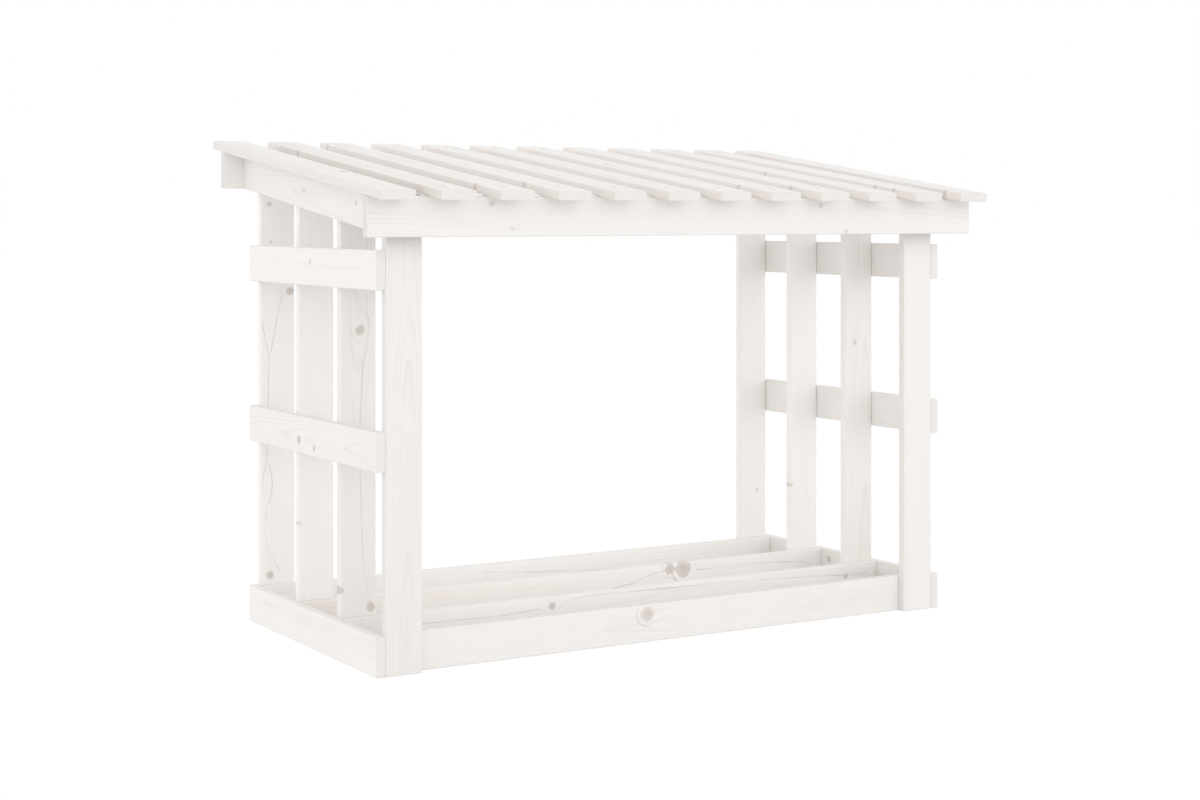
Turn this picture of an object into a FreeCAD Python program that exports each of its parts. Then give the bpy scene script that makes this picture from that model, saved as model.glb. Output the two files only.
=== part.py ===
"""Free-standing firewood rack of planed pine boards under a slatted lean-to roof.

Millimetres, +Z up, +X along the rack's length, front towards -Y.
The origin is on the ground under the middle of the roof.
"""
import FreeCAD, Part
import math
import os

# Stock that the boards are sawn from
BOARD_WIDTH = 57.0
BOARD_THICKNESS = 14.0
SLAT_WIDTH = 54.0
SLAT_THICKNESS = 14.0
FASCIA_WIDTH = 59.0
EDGE_RADIUS = 2.0

# Side frames and base
FRAME_WIDTH = 1014.0
FRAME_DEPTH = 481.0
UPRIGHTS_PER_SIDE = 4
BASE_TO_MIDDLE_RAIL = 230.0
MIDDLE_TO_UPPER_RAIL = 198.0
UPPER_RAIL_TO_RAFTER = 23.0

# Roof
ROOF_PITCH = 7.6
ROOF_SIDE_OVERHANG = 33.0
EAVES_GAP = 26.0
SLAT_COUNT = 12
SLAT_FRONT_OVERHANG = 42.0
SLAT_BACK_OVERHANG = 37.0
UPRIGHT_TOP_CLEARANCE = 3.0

# Dowels
DOWEL_DIAMETER = 6.0
DOWEL_LENGTH = 30.0
DOWEL_CHAMFER = 0.8
DOWEL_SPACING = 28.0
DOWEL_CLEARANCE = 0.1
DOWEL_END_CLEARANCE = 0.5
BLIND_HOLE_SKIN = 4.5

# Countersunk wood screws
SCREW_DIAMETER = 3.5
SCREW_HEAD_DIAMETER = 7.0
SCREW_HEAD_HEIGHT = 1.9
SCREW_TIP_LENGTH = 4.0
SCREW_SET_DEPTH = 0.3
SCREW_CLEARANCE = 0.1
SCREW_SPACING = 30.0
ROOF_SCREW_BITE = 17.0
RECESS_LENGTH = 4.0
RECESS_WIDTH = 0.9
RECESS_DEPTH = 1.2

# Sizes that follow
PITCH = math.radians(ROOF_PITCH)
HALF_FRAME = FRAME_WIDTH / 2
SIDE_INNER = HALF_FRAME - BOARD_THICKNESS
UPRIGHT_INNER = SIDE_INNER - BOARD_WIDTH
ROOF_WIDTH = FRAME_WIDTH + 2 * ROOF_SIDE_OVERHANG

MIDDLE_RAIL_BOTTOM = BOARD_WIDTH + BASE_TO_MIDDLE_RAIL
UPPER_RAIL_BOTTOM = MIDDLE_RAIL_BOTTOM + BOARD_WIDTH + MIDDLE_TO_UPPER_RAIL
RAFTER_DROP = BOARD_WIDTH / math.cos(PITCH)
EAVES_HEIGHT = UPPER_RAIL_BOTTOM + BOARD_WIDTH + UPPER_RAIL_TO_RAFTER + RAFTER_DROP

# Along the slope, measured from above the posts' front faces
EAVES_REACH = EAVES_GAP + BOARD_THICKNESS
SLAT_START = -EAVES_REACH / math.cos(PITCH) - SLAT_FRONT_OVERHANG
SLAT_END = (FRAME_DEPTH + EAVES_REACH) / math.cos(PITCH) + SLAT_BACK_OVERHANG
ROOF_FRONT = SLAT_START * math.cos(PITCH) - SLAT_THICKNESS * math.sin(PITCH)
ROOF_BACK = SLAT_END * math.cos(PITCH)

# Across the depth, from the middle of the roof
FRONT = -(ROOF_FRONT + ROOF_BACK) / 2
BACK = FRONT + FRAME_DEPTH
FASCIA_BACK = FRONT - EAVES_GAP
HEADER_FRONT = BACK + EAVES_GAP

DOWEL_DEPTH = BOARD_THICKNESS - BLIND_HOLE_SKIN
SIDES = (("left", -1), ("right", 1))
UPRIGHT_PITCH = (FRAME_DEPTH - BOARD_THICKNESS) / (UPRIGHTS_PER_SIDE - 1)
UPRIGHT_FRONTS = [FRONT + i * UPRIGHT_PITCH for i in range(UPRIGHTS_PER_SIDE)]

# The first board across the base lies behind its posts, and the others lie in front of theirs
CROSS_FRONTS = [FRONT + BOARD_THICKNESS] + [y - BOARD_THICKNESS for y in UPRIGHT_FRONTS[1:]]

UP = FreeCAD.Vector(0, 0, 1)
BACKWARDS = FreeCAD.Vector(0, 1, 0)
ROOF_NORMAL = FreeCAD.Vector(0, -math.sin(PITCH), math.cos(PITCH))
REACH = 4 * (ROOF_WIDTH + EAVES_HEIGHT)

cuts = {}


def span(a, b):
    """The two ends of a stretch, lower one first."""
    return min(a, b), max(a, b)


def box(x, y, z):
    """A plain block between two corners, given as one stretch for each axis."""
    low = FreeCAD.Vector(x[0], y[0], z[0])
    return Part.makeBox(x[1] - x[0], y[1] - y[0], z[1] - z[0], low)


def board(x, y, z, along):
    """A planed board with its four long edges eased."""
    blank = box(x, y, z)
    direction = {"x": FreeCAD.Vector(1, 0, 0), "y": FreeCAD.Vector(0, 1, 0), "z": UP}[along]
    long_edges = [e for e in blank.Edges if e.tangentAt(e.FirstParameter).cross(direction).Length < 1e-6]
    radius = min(EDGE_RADIUS, BOARD_THICKNESS / 3, SLAT_THICKNESS / 3)
    return blank.makeFillet(radius, long_edges)


def on_roof(shape):
    """Carry a shape from the slope's own frame (x, along the slope, out of it) to its place."""
    shape.rotate(FreeCAD.Vector(0, 0, 0), FreeCAD.Vector(1, 0, 0), ROOF_PITCH)
    shape.translate(FreeCAD.Vector(0, FRONT, EAVES_HEIGHT))
    return shape


def above_roof_line(drop=0.0):
    """All the space above the slats' underside, or above a line that much lower."""
    return on_roof(box((-REACH, REACH), (-REACH, REACH), (-drop, REACH)))


def roof_point(x, y, out=0.0):
    """The point of the slats' underside over x and y, raised out of the slope by a distance."""
    foot = FreeCAD.Vector(x, y, EAVES_HEIGHT + (y - FRONT) * math.tan(PITCH))
    return foot + ROOF_NORMAL * out


def turned(profile, place, direction):
    """Spin a half profile of (radius, height) points about its axis and set it up along a direction."""
    points = [FreeCAD.Vector(r, 0, h) for r, h in profile]
    face = Part.Face(Part.makePolygon(points + points[:1]))
    solid = face.revolve(FreeCAD.Vector(0, 0, 0), UP, 360)
    solid.Placement = FreeCAD.Placement(place, FreeCAD.Rotation(UP, direction))
    return solid


def dowel(place, direction, hosts, length=DOWEL_LENGTH):
    """A glued dowel across a joint, blind in the board it points into; both boards are bored for it."""
    r = DOWEL_DIAMETER / 2
    low, high = DOWEL_DEPTH - length, DOWEL_DEPTH
    c = DOWEL_CHAMFER
    pin = [(0, low), (r - c, low), (r, low + c), (r, high - c), (r - c, high), (0, high)]
    bore_r = r + DOWEL_CLEARANCE
    bore_low, bore_high = low - DOWEL_END_CLEARANCE, high + DOWEL_END_CLEARANCE
    bore = [(0, bore_low), (bore_r, bore_low), (bore_r, bore_high), (0, bore_high)]
    for host in hosts:
        cuts.setdefault(host, []).append(turned(bore, place, direction))
    return turned(pin, place, direction)


def screw(surface, outward, length, hosts):
    """A countersunk screw driven in from a surface, with its hole in every board it passes."""
    place = surface - outward * SCREW_SET_DEPTH
    head, r = SCREW_HEAD_DIAMETER / 2, SCREW_DIAMETER / 2
    neck, shank_end = -SCREW_HEAD_HEIGHT, SCREW_TIP_LENGTH - length
    body = turned([(0, 0), (head, 0), (r, neck), (r, shank_end), (0, -length)], place, outward)
    half, wide = RECESS_LENGTH / 2, RECESS_WIDTH / 2
    for x, y in ((half, wide), (wide, half)):
        slot = box((-x, x), (-y, y), (-RECESS_DEPTH, RECESS_DEPTH))
        slot.Placement = FreeCAD.Placement(place, FreeCAD.Rotation(UP, outward))
        body = body.cut(slot)
    c = SCREW_CLEARANCE
    mouth, end = 2 * SCREW_SET_DEPTH + c, -length - c
    hole = [(0, mouth), (head + c, mouth), (head + c, 0), (r + c, neck), (r + c, end), (0, end)]
    for host in hosts:
        cuts.setdefault(host, []).append(turned(hole, place, outward))
    return body


def pair(middle, step):
    """Two points, half a step each way from the middle."""
    return middle - step * 0.5, middle + step * 0.5


def side_name(side, i):
    """The name of one upright, counted from the front."""
    if i == 0:
        return f"{side}_front_post"
    if i == UPRIGHTS_PER_SIDE - 1:
        return f"{side}_back_post"
    return f"{side}_side_board_{i}"


def cross_name(i):
    """The name of one board across the base, counted from the front."""
    if i == 0:
        return "front_base_board"
    if i == UPRIGHTS_PER_SIDE - 1:
        return "back_base_board"
    return f"log_bearer_{i}"


def base_frame():
    """Side base boards, and the boards across that the logs lie on, all on edge on the ground."""
    parts = {}
    height = (0, BOARD_WIDTH)
    for side, sign in SIDES:
        x = span(sign * HALF_FRAME, sign * SIDE_INNER)
        parts[f"{side}_base_board"] = board(x, (FRONT, BACK), height, "y")
    for i, y in enumerate(CROSS_FRONTS):
        parts[cross_name(i)] = board((-SIDE_INNER, SIDE_INNER), (y, y + BOARD_THICKNESS), height, "x")
    return parts


def uprights():
    """Corner posts and side boards, from the ground up to the roof."""
    parts = {}
    under_roof = above_roof_line(UPRIGHT_TOP_CLEARANCE)
    top = EAVES_HEIGHT + FRAME_DEPTH * math.tan(PITCH)
    for side, sign in SIDES:
        x = span(sign * SIDE_INNER, sign * UPRIGHT_INNER)
        for i, y in enumerate(UPRIGHT_FRONTS):
            blank = board(x, (y, y + BOARD_THICKNESS), (0, top), "z")
            parts[side_name(side, i)] = blank.cut(under_roof)
    return parts


def rails():
    """The middle and upper rails on the outside of each side."""
    parts = {}
    for side, sign in SIDES:
        x = span(sign * HALF_FRAME, sign * SIDE_INNER)
        for name, z in (("middle", MIDDLE_RAIL_BOTTOM), ("upper", UPPER_RAIL_BOTTOM)):
            parts[f"{side}_{name}_rail"] = board(x, (FRONT, BACK), (z, z + BOARD_WIDTH), "y")
    return parts


def roof_frame():
    """Rafters cut upright at both ends, and the fascia and header ripped to the slope on top."""
    parts = {}
    between = box((-REACH, REACH), (FASCIA_BACK, HEADER_FRONT), (0, REACH))
    for side, sign in SIDES:
        x = span(sign * HALF_FRAME, sign * SIDE_INNER)
        blank = on_roof(board(x, (SLAT_START, SLAT_END), (-BOARD_WIDTH, 0), "y"))
        parts[f"{side}_rafter"] = blank.common(between)
    over = above_roof_line()
    length = (-ROOF_WIDTH / 2, ROOF_WIDTH / 2)
    for name, y in (("front_fascia", FASCIA_BACK - BOARD_THICKNESS), ("back_header", HEADER_FRONT)):
        top = roof_point(0, y + BOARD_THICKNESS).z
        blank = board(length, (y, y + BOARD_THICKNESS), (top - FASCIA_WIDTH, top + FASCIA_WIDTH), "x")
        parts[name] = blank.cut(over)
    return parts


def slat_lefts():
    """The left edges of the roof slats, spread evenly over the roof's width."""
    step = (ROOF_WIDTH - SLAT_WIDTH) / (SLAT_COUNT - 1)
    return [-ROOF_WIDTH / 2 + i * step for i in range(SLAT_COUNT)]


def roof_slats():
    """Slats down the slope, flat on the fascia, rafters and header."""
    parts = {}
    for i, x in enumerate(slat_lefts()):
        blank = board((x, x + SLAT_WIDTH), (SLAT_START, SLAT_END), (0, SLAT_THICKNESS), "y")
        parts[f"roof_slat_{i + 1:02d}"] = on_roof(blank)
    return parts


def side_dowels():
    """Two dowels wherever an upright meets the base board, a rail or the rafter."""
    parts = {}
    for side, sign in SIDES:
        pins = []
        for i, front in enumerate(UPRIGHT_FRONTS):
            y = front + BOARD_THICKNESS / 2
            rafter_middle = roof_point(0, y).z - RAFTER_DROP / 2
            crossings = {"base_board": BOARD_WIDTH / 2,
                         "middle_rail": MIDDLE_RAIL_BOTTOM + BOARD_WIDTH / 2,
                         "upper_rail": UPPER_RAIL_BOTTOM + BOARD_WIDTH / 2,
                         "rafter": rafter_middle}
            for rail, z in crossings.items():
                hosts = (f"{side}_{rail}", side_name(side, i))
                middle = FreeCAD.Vector(sign * SIDE_INNER, y, z)
                for place in pair(middle, UP * DOWEL_SPACING):
                    pins.append(dowel(place, FreeCAD.Vector(sign, 0, 0), hosts))
        parts[f"{side}_side_dowels"] = Part.makeCompound(pins)
    return parts


def fascia_dowels():
    """Two dowels from each rafter's front end into the fascia."""
    length = min(DOWEL_LENGTH, EAVES_GAP + DOWEL_DEPTH)
    pins = []
    for side, sign in SIDES:
        x = sign * (HALF_FRAME - BOARD_THICKNESS / 2)
        middle = roof_point(x, FASCIA_BACK) - UP * (RAFTER_DROP / 2 + DOWEL_DIAMETER)
        hosts = (f"{side}_rafter", "front_fascia")
        for place in pair(middle, UP * DOWEL_SPACING):
            pins.append(dowel(place, -BACKWARDS, hosts, length))
    return {"fascia_dowels": Part.makeCompound(pins)}


def roof_screws():
    """One screw from each slat into the fascia and the header, and one from each end slat into a rafter."""
    length = SLAT_THICKNESS + ROOF_SCREW_BITE
    lean = ROOF_SCREW_BITE / 2 * math.sin(PITCH)
    seats = {"front_fascia": FASCIA_BACK - BOARD_THICKNESS / 2 - lean,
             "back_header": HEADER_FRONT + BOARD_THICKNESS / 2 - lean}
    screws = []
    for i, left in enumerate(slat_lefts()):
        slat = f"roof_slat_{i + 1:02d}"
        for host, y in seats.items():
            top = roof_point(left + SLAT_WIDTH / 2, y, SLAT_THICKNESS)
            screws.append(screw(top, ROOF_NORMAL, length, (slat, host)))
    for (side, sign), slat in zip(SIDES, ("roof_slat_01", f"roof_slat_{SLAT_COUNT:02d}")):
        x = sign * (HALF_FRAME - BOARD_THICKNESS / 2)
        top = roof_point(x, FRONT + (UPRIGHT_PITCH + BOARD_THICKNESS) / 2, SLAT_THICKNESS)
        screws.append(screw(top, ROOF_NORMAL, length, (slat, f"{side}_rafter")))
    return {"roof_screws": Part.makeCompound(screws)}


def base_screws():
    """Two screws from behind wherever a board across the base meets an upright."""
    length = 2 * BOARD_THICKNESS - BLIND_HOLE_SKIN
    dowel_end = SIDE_INNER - (DOWEL_LENGTH - DOWEL_DEPTH)
    screws = []
    for side, sign in SIDES:
        x = sign * (dowel_end + UPRIGHT_INNER) / 2
        for i, (upright, cross) in enumerate(zip(UPRIGHT_FRONTS, CROSS_FRONTS)):
            middle = FreeCAD.Vector(x, max(upright, cross) + BOARD_THICKNESS, BOARD_WIDTH / 2)
            hosts = (side_name(side, i), cross_name(i))
            for place in pair(middle, UP * SCREW_SPACING):
                screws.append(screw(place, BACKWARDS, length, hosts))
    return {"base_screws": Part.makeCompound(screws)}


def header_screws():
    """Two screws through the header into each rafter's back end."""
    length = BOARD_THICKNESS + EAVES_GAP
    screws = []
    for side, sign in SIDES:
        middle = roof_point(sign * (HALF_FRAME - BOARD_THICKNESS / 2), HEADER_FRONT)
        middle += FreeCAD.Vector(0, BOARD_THICKNESS, -RAFTER_DROP / 2)
        hosts = ("back_header", f"{side}_rafter")
        for place in pair(middle, UP * SCREW_SPACING):
            screws.append(screw(place, BACKWARDS, length, hosts))
    return {"header_screws": Part.makeCompound(screws)}


def build():
    """All boards with their holes, and all fasteners, by name."""
    boards = {**base_frame(), **uprights(), **rails(), **roof_frame(), **roof_slats()}
    fasteners = {**side_dowels(), **fascia_dowels(), **roof_screws(), **base_screws(), **header_screws()}
    drilled = {}
    for name, shape in boards.items():
        holes = cuts.get(name)
        drilled[name] = shape.cut(holes) if holes else shape
    return {**drilled, **fasteners}


os.makedirs("parts", exist_ok=True)
for node, shape in build().items():
    shape.exportStep(f"parts/{node}.step")
    print(node, len(shape.Solids), "solids", round(shape.Volume / 1000, 2), "cm3")
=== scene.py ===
"""Firewood rack of white-stained pine boards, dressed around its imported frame."""

import math
import random

import bmesh
import bpy
import numpy as np
from mathutils import Matrix, Vector


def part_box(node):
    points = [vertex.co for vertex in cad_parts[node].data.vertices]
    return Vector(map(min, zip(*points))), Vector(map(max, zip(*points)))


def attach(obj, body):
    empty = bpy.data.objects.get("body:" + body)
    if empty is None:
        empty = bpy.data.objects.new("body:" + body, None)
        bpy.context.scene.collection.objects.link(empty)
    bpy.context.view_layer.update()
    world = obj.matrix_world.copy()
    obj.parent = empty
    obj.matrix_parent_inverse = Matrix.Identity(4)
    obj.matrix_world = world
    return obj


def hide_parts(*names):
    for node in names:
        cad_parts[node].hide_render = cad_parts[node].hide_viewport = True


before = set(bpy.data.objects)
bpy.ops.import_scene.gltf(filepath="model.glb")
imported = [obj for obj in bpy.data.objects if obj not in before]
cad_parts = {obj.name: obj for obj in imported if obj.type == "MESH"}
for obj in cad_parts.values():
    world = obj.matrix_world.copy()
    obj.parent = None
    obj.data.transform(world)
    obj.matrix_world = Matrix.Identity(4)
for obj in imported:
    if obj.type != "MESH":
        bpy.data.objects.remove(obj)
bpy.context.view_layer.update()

bl_info = {
    "name": "Firewood Rack",
    "version": (1, 0, 0),
    "blender": (4, 5, 0),
    "location": "3D View > Sidebar > Rack",
    "description": "Builds a white-stained pine firewood rack with a slatted lean-to roof",
    "category": "Add Mesh",
}

MM = 0.001
X_AXIS, Y_AXIS, Z_AXIS = Vector((1, 0, 0)), Vector((0, 1, 0)), Vector((0, 0, 1))
SIDES = ("left", "right")

# Kinds of node that the trees use most.
MATH, VECTOR_MATH, MAP_RANGE = "ShaderNodeMath", "ShaderNodeVectorMath", "ShaderNodeMapRange"
MIX, SEPARATE, NOISE = "ShaderNodeMix", "ShaderNodeSeparateXYZ", "ShaderNodeTexNoise"
ATTRIBUTE = "ShaderNodeAttribute"

# A board has room for this many knots and grain lines, and one that it lacks lies far away from it.
KNOT_NAMES = ("knot_a", "knot_b", "knot_c", "knot_d")
LINE_NAMES = ("line_a", "line_b")
FAR = 9.0
NO_KNOT = (FAR, FAR, 5 * MM)

# What a knot does to the wood, and how the knots of one board are put together.
KNOT_PARTS = {"Shift": "ADD", "Body": "MAXIMUM", "Rim": "MAXIMUM", "Halo": "MAXIMUM", "Reach": "MINIMUM",
              "Collar": "MAXIMUM"}

# Noises in the pine, stretched along the grain, as repeats in a metre along it, across it and through the
# board, and detail. The sway is about 250 by 70 mm, the tremble 60 by 14 mm, the cloud 110 by 45 mm and the
# speck 11 by 8 mm. A fibre is 60 by 2 mm, which is twice the real thickness so that it shows.
GRAIN_NOISES = (((4, 14, 14), 2.0), ((16, 70, 70), 2.0), ((16, 480, 480), 3.0), ((9, 22, 22), 3.0),
                ((90, 120, 120), 2.0))

# What a board that isn't listed under KNOTS may draw: how many knots, how far out as a share of the half
# size, and their radius in millimetres.
KNOT_COUNTS = (1, 2, 2, 3)
KNOT_SPREAD = 0.9
KNOT_RADII = (2.5, 6)
# The pith beside a board: how far aside and how far below or above in millimetres, and drift along it.
PITH_ASIDE, PITH_DEPTHS, PITH_DRIFT = 18, (14, 40), 0.03
# The range of the boards' own seeds.
SEEDS = (0, 50)

# How much painted shade darkens the slats' narrow sides, which face the dark gaps between them.
SLAT_SIDE_SHADE = 0.45

# Cross sections along a plank, the points on each eased edge, and the seed of the planks' bow.
STATIONS, EASING_POINTS, BOW_SEED = 49, 4, 3.0
# The fewest faces that a plank and a screw can have.
PLANK_FACES, SCREW_FACES = 100, 40
# Attributes that only place the planks.
PLACING = ("along", "across", "through", "turn", "low_cut", "high_cut", "bevel", "cap")

# The camera at the photograph's viewing angle.
CAMERA_PLACE = (-1.72119, -2.86808, 0.65209)
CAMERA_TURN = (math.radians(90), 0, math.radians(-30.96))
SENSOR_WIDTH, CAMERA_LENS, CAMERA_SHIFT = 36.0, 61.85, -0.1566

# The floor lies just under the boards, which bow a little.
FLOOR_DROP = 0.3 * MM
# Light that the floor gives back to the rack, its glow to the camera, and its share that takes shadow.
FLOOR_BOUNCE, FLOOR_GLOW, FLOOR_SHADOW = 0.93, 1.02, 0.08
# Brightness of the room at eye level and overhead.
ROOM_LEVEL, ROOM_OVERHEAD = 1.74, 0.52
# One large soft lamp in front: its place and aim, its width in metres and its power in watts.
LAMP_PLACE, LAMP_AIM = Vector((0.0, -5.2, 2.6)), Vector((0, 0, 0.35))
LAMP_SIZE, LAMP_POWER = 4.5, 33.0

# Knots of the boards that show, placed after the photograph: along the board from its middle, across it
# and radius, in millimetres.
KNOTS = {
    "left_base_board": (),
    "right_base_board": ((35, 12, 5.5),),
    "front_base_board": ((-50, 14, 10.5),),
    # On log_bearer_1 the knot at 426 mm is painted shade, low on the board behind the front base board's top
    # edge.
    "log_bearer_1": ((-144, 14, 6), (426, 9, 5)),
    "log_bearer_2": ((173, 20, 8.5), (201, 18, 13.5), (182, 2, 3)),
    "back_base_board": (),
    "left_front_post": (),
    "right_front_post": (),
    "left_back_post": ((-298, -13, 6), (295, -15, 4), (234, -12, 3.2), (155, 21, 6.5)),
    "right_back_post": ((-227, 9, 3.5),),
    "left_side_board_1": ((129, 3, 8), (-280, 20, 7), (-252, -29, 6)),
    "left_side_board_2": ((-184, -28, 3),),
    "right_side_board_1": ((81, -8, 4),),
    "right_side_board_2": ((-188, -28, 3.5),),
    "left_middle_rail": ((38, -8, 7), (-20, -15, 5)),
    "left_upper_rail": ((-4, 7, 4),),
    "left_rafter": ((-149, 25, 4), (-172, 5, 4), (-190, 25, 4), (18, 0, 4)),
    "front_fascia": ((-346, 19, 4), (-313, -18, 3.5), (237, 17, 4.5), (286, -24, 4)),
    # The slats' marks lie on their left edges beside the gaps: partly knots, partly painted shade in the gaps
    # between the slats.
    "roof_slat_02": ((192, -27, 4.5),),
    "roof_slat_03": ((291, -27, 4.5), (-242, -27, 4.5)),
    "roof_slat_04": ((-218, -27, 4.5),),
    "roof_slat_08": ((-231, -27, 4),),
    "roof_slat_09": ((-241, -27, 4.5),),
    "roof_slat_10": ((-40, -27, 4.5),),
    "roof_slat_11": ((-217, -27, 4), (-266, -27, 4)),
    "roof_slat_12": ((-282, -27, 4.5),),
}

# Dark grain lines that wander along a board, placed after the photograph: points along it from its middle
# and across it, in millimetres. Between two points at GAP, far off the board, a line is broken.
GAP = 900
GRAIN_LINES = {
    # The piece of log_bearer_1's first line from 416 mm on is painted shade, low on the board behind the
    # front base board's top edge.
    "log_bearer_1": (
        ((-420, 11), (-300, 9), (-235, 8), (-166, 12), (-150, 14), (-149, GAP), (415, GAP), (416, 12),
         (490, 10)),
        ((-132, 17), (-80, 24), (-21, 23), (111, 22), (243, 19), (400, 13), (426, 10), (490, 8))),
    "log_bearer_2": (
        ((60, -2), (106, 4), (130, 14), (154, 18), (166, 19)),
        ((216, 15), (280, 13), (343, 14), (411, 12), (444, 10), (470, 2), (492, 2))),
    "back_base_board": (((-120, 16), (-64, 13), (20, 6), (88, 1), (200, -2)),),
    "left_side_board_1": (
        ((-270, 17), (-202, 7), (-104, 4), (-4, 3), (80, 8), (142, 19), (150, 16), (168, 0), (190, -6)),),
    "left_side_board_2": (((-200, -26), (-184, -28), (-170, -27)),),
    "left_back_post": (
        ((-298, 5), (-280, -2), (-262, -16), (-236, -22), (-191, -19), (-171, -24), (-151, -26),
         (-131, -24), (-117, -18), (-12, -16), (51, -15), (71, -19), (93, -24), (120, -28)),
        ((-195, -19), (-174, -11), (-152, -9), (-132, -11), (-113, -17), (-112, GAP), (45, GAP),
         (46, -15), (70, -9), (93, -5), (163, 9))),
}

# How much duller, or whiter below zero, a board is than the others: partly its own tone and partly painted
# light and shade, which evens out how the light falls on the boards. A name without its number counts for all
# of them.
TONES_AND_PAINTED_LIGHT = {"left_front_post": 0.75, "left_side_board_1": 0.25, "left_rafter": 0.2, "left_middle_rail": 0.1,
         "front_base_board": 0.55, "front_fascia": 0.55, "right_front_post": 0.6, "log_bearer_1": -0.1,
         "log_bearer_2": -0.2, "back_base_board": -0.3, "right_side_board_2": -0.5, "right_back_post": -0.2,
         "left_back_post": -0.3, "left_side_board_2": -0.3, "left_base_board": -0.2, "left_upper_rail": -0.1,
         "roof_slat": -0.3}


def linear(code):
    """An sRGB hex colour as linear red, green and blue."""
    shares = [int(code[at:at + 2], 16) / 255 for at in (1, 3, 5)]
    return [c / 12.92 if c <= 0.04045 else ((c + 0.055) / 1.055) ** 2.4 for c in shares]


def add(tree, kind, inputs=(), **settings):
    """A node with its settings; an input takes a value, a socket or a node's first active output."""
    made = tree.nodes.new(kind)
    for name, value in settings.items():
        setattr(made, name, value)
    for key, value in dict(inputs).items():
        socket = made.inputs[key] if isinstance(key, int) else next(
            s for s in made.inputs if s.name == key and s.enabled)
        if isinstance(value, bpy.types.Node):
            value = next(s for s in value.outputs if s.enabled)
        if isinstance(value, bpy.types.NodeSocket):
            tree.links.new(value, socket)
        else:
            socket.default_value = value
    return made


def length_property(name, description, default):
    """A length that a user may change, in metres."""
    return bpy.props.FloatProperty(
        name=name, description=description, default=default, unit="LENGTH", precision=4)


def colour_property(name, description, code):
    """A colour that a user may change, from its sRGB hex value."""
    return bpy.props.FloatVectorProperty(
        name=name, description=description, default=linear(code), subtype="COLOR", size=3)


class RackSizes(bpy.types.PropertyGroup):
    """Sizes that are finer than the frame's own."""

    pitch: bpy.props.FloatProperty(
        name="Roof Pitch", description="Slope of the roof slats and rafters",
        default=math.radians(7.6), subtype="ANGLE")
    edge_radius: length_property("Edge Radius", "Rounding of the planed boards' long edges", 2 * MM)
    end_chamfer: length_property("End Chamfer", "Sanded chamfer round a board's cut ends", 0.6 * MM)
    bow: length_property("Bow", "How far a board strays from straight", 0.2 * MM)
    ring_spacing: length_property("Ring Spacing", "Width of one year ring of the pine", 3.4 * MM)
    head_diameter: length_property("Screw Head", "Diameter of the countersunk screw heads", 7 * MM)
    head_proud: length_property("Screw Height", "How far a screw head stands out of the wood", 0.4 * MM)
    floor_size: length_property("Floor Size", "Side of the stage floor", 60)


class RackColours(bpy.types.PropertyGroup):
    """Colours of the finishes and the stage."""

    stain: colour_property("Stain", "White stain over soft early wood", "#F0EDEA")
    # This colour also paints the shade on the slats' narrow sides.
    late_wood_and_side_shade: colour_property("Late Wood", "White stain over the hard line of a year ring", "#D9CEC6")
    heart: colour_property("Heart Wood", "White stain over pinkish heart wood", "#EADFD9")
    end_grain: colour_property("End Grain", "White stain soaked into cut ends", "#E0DDD9")
    # Painted light: this white lifts the boards whose tone is below zero.
    painted_light_white: colour_property("Whitened", "White stain laid thick", "#F8F6F4")
    knot: colour_property("Knot", "White stain over a knot", "#D5CDC8")
    knot_rim: colour_property("Knot Rim", "Bark line and cracks of a knot", "#B3A69F")
    vein: colour_property("Vein", "Dark resin lines along the grain", "#BFB0A5")
    cut: colour_property("Cut Wood", "Worn edges and fibres, where the stain is thin", "#EAE4DF")
    zinc: colour_property("Zinc", "Zinc plated steel", "#E6E3DF")
    beech: colour_property("Beech", "Bare turned beech", "#DCC3A2")
    floor: colour_property("Floor", "Stage floor", "#FFFFFF")


def blank_material(name):
    """A new material and its node tree, with no nodes in it yet."""
    material = bpy.data.materials.new(name)
    material.use_nodes = True
    material.node_tree.nodes.clear()
    return material, material.node_tree


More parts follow.
